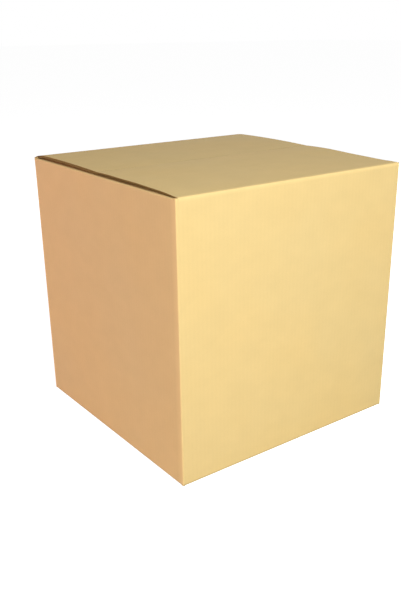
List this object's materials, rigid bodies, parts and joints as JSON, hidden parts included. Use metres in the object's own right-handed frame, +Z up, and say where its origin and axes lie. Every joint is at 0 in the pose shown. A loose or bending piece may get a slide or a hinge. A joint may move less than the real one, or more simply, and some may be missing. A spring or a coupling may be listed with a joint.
{
  "type": "cardboard box",
  "caption": "Regular slotted carton of plain kraft corrugated board, near cube in shape, set up and closed, with hinged top flaps.",
  "frame": {"origin": "middle of the underside, on the surface that the carton stands on", "axes": "+X to the right along the front, +Y from the front to the back, +Z up; the two outer top flaps hinge on the front and back walls and meet over the middle"},
  "size_m": [0.465, 0.457, 0.4715],
  "materials": {
    "kraft_board": "matte"
  },
  "bodies": {
    "carton": {"carton_body": "kraft_board"},
    "front_lid": {"front_flap": "kraft_board"},
    "back_lid": {"back_flap": "kraft_board"}
  },
  "joints": [
    {"name": "front_flap_hinge", "type": "hinge", "parent": "carton", "child": "front_lid", "pos_m": [0, -0.2285, 0.464], "axis": [1, 0, 0], "range_deg": [0, 240]},
    {"name": "back_flap_hinge", "type": "hinge", "parent": "carton", "child": "back_lid", "pos_m": [0, 0.2285, 0.464], "axis": [-1, 0, 0], "range_deg": [0, 240]}
  ]
}
